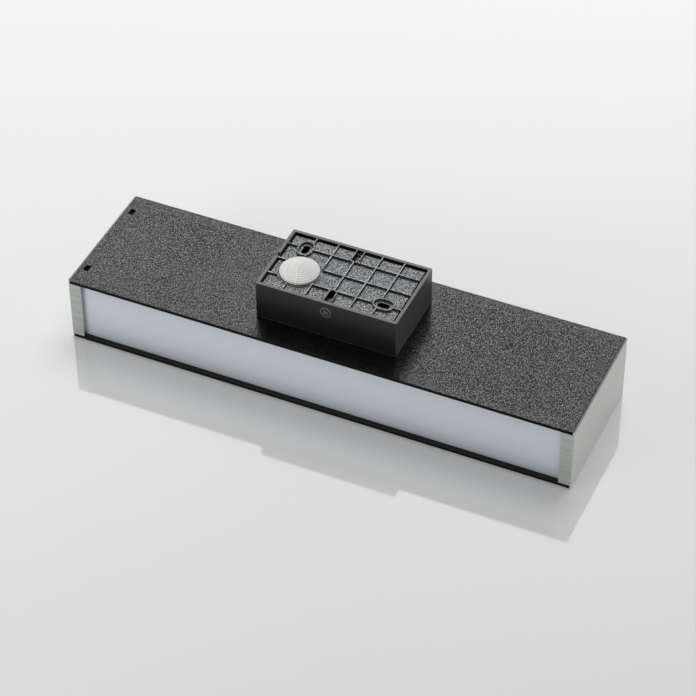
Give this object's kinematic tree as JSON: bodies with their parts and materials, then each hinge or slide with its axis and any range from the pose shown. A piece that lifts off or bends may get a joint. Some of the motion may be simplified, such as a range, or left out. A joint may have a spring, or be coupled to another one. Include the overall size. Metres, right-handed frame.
{
  "type": "outdoor wall light",
  "caption": "Slim bar-shaped outdoor wall light with an opal diffuser on each long side, steel end caps and a box with a ribbed wall plate.",
  "frame": {"origin": "on the floor under the middle of the bar, which lies on its front cover", "axes": "+X along the bar; +Z from the front cover to the wall side; -Y towards the lower diffuser, +Y towards the upper one"},
  "size_m": [0.4, 0.108, 0.095],
  "materials": {
    "black_textured_coat": "fine sandy powder coat",
    "black_smooth_coat": "smooth semi-matt coat",
    "grey_cast_aluminium": "textured grey coat",
    "satin_stainless": "satin sheet",
    "opal_acrylic": "opal, faintly blue unlit",
    "white_silicone": "matt silicone",
    "black_rubber": "matt",
    "bare_aluminium": "mill finish",
    "zinc_plated_steel": "bright zinc",
    "black_steel": "black zinc",
    "brass": "bare brass",
    "white_board": "white solder mask on aluminium",
    "white_nylon": "moulded",
    "brown_insulation": "lead insulation",
    "blue_insulation": "lead insulation",
    "green_yellow_insulation": "lead insulation",
    "white_insulation": "lead insulation"
  },
  "bodies": {
    "lamp": {"front_cover": "black_textured_coat", "rear_plate": "black_textured_coat", "left_end_cap": "satin_stainless", "right_end_cap": "satin_stainless", "left_end_gasket": "black_rubber", "right_end_gasket": "black_rubber", "left_bulkhead": "bare_aluminium", "right_bulkhead": "bare_aluminium", "left_bulkhead_screw_1": "zinc_plated_steel", "left_bulkhead_screw_2": "zinc_plated_steel", "right_bulkhead_screw_1": "zinc_plated_steel", "right_bulkhead_screw_2": "zinc_plated_steel", "chassis": "bare_aluminium", "lower_diffuser": "opal_acrylic", "upper_diffuser": "opal_acrylic", "lower_light_board": "white_board", "upper_light_board": "white_board", "lower_light_board_screw_1": "zinc_plated_steel", "lower_light_board_screw_2": "zinc_plated_steel", "upper_light_board_screw_1": "zinc_plated_steel", "upper_light_board_screw_2": "zinc_plated_steel", "driver_case": "white_nylon", "driver_screw_1": "zinc_plated_steel", "driver_screw_2": "zinc_plated_steel", "live_lead": "brown_insulation", "neutral_lead": "blue_insulation", "earth_lead": "green_yellow_insulation", "lower_board_lead": "white_insulation", "upper_board_lead": "white_insulation", "lead_bush": "black_rubber", "canopy_shell": "black_smooth_coat", "canopy_gasket": "black_rubber", "canopy_screw_1": "zinc_plated_steel", "canopy_screw_2": "zinc_plated_steel", "canopy_screw_3": "zinc_plated_steel", "canopy_screw_4": "zinc_plated_steel", "earth_screw": "brass", "earth_lug": "zinc_plated_steel", "terminal_block": "white_nylon", "terminal_block_screw": "zinc_plated_steel", "clamp_screw_1": "brass", "clamp_screw_2": "brass", "clamp_screw_3": "brass", "clamp_screw_4": "brass", "clamp_screw_5": "brass", "clamp_screw_6": "brass"},
    "wall_side": {"wall_plate": "grey_cast_aluminium", "cable_grommet": "white_silicone"},
    "front_screw": {"side_screw_front": "black_steel"},
    "rear_screw": {"side_screw_rear": "black_steel"}
  },
  "joints": [
    {"name": "wall_plate_lift", "type": "slide", "parent": "lamp", "child": "wall_side", "axis": [0, 0, 1], "range_m": [0, 0.03]},
    {"name": "front_screw_out", "type": "slide", "parent": "lamp", "child": "front_screw", "axis": [0, -1, 0], "range_m": [0, 0.006]},
    {"name": "rear_screw_out", "type": "slide", "parent": "lamp", "child": "rear_screw", "axis": [0, 1, 0], "range_m": [0, 0.006]}
  ]
}
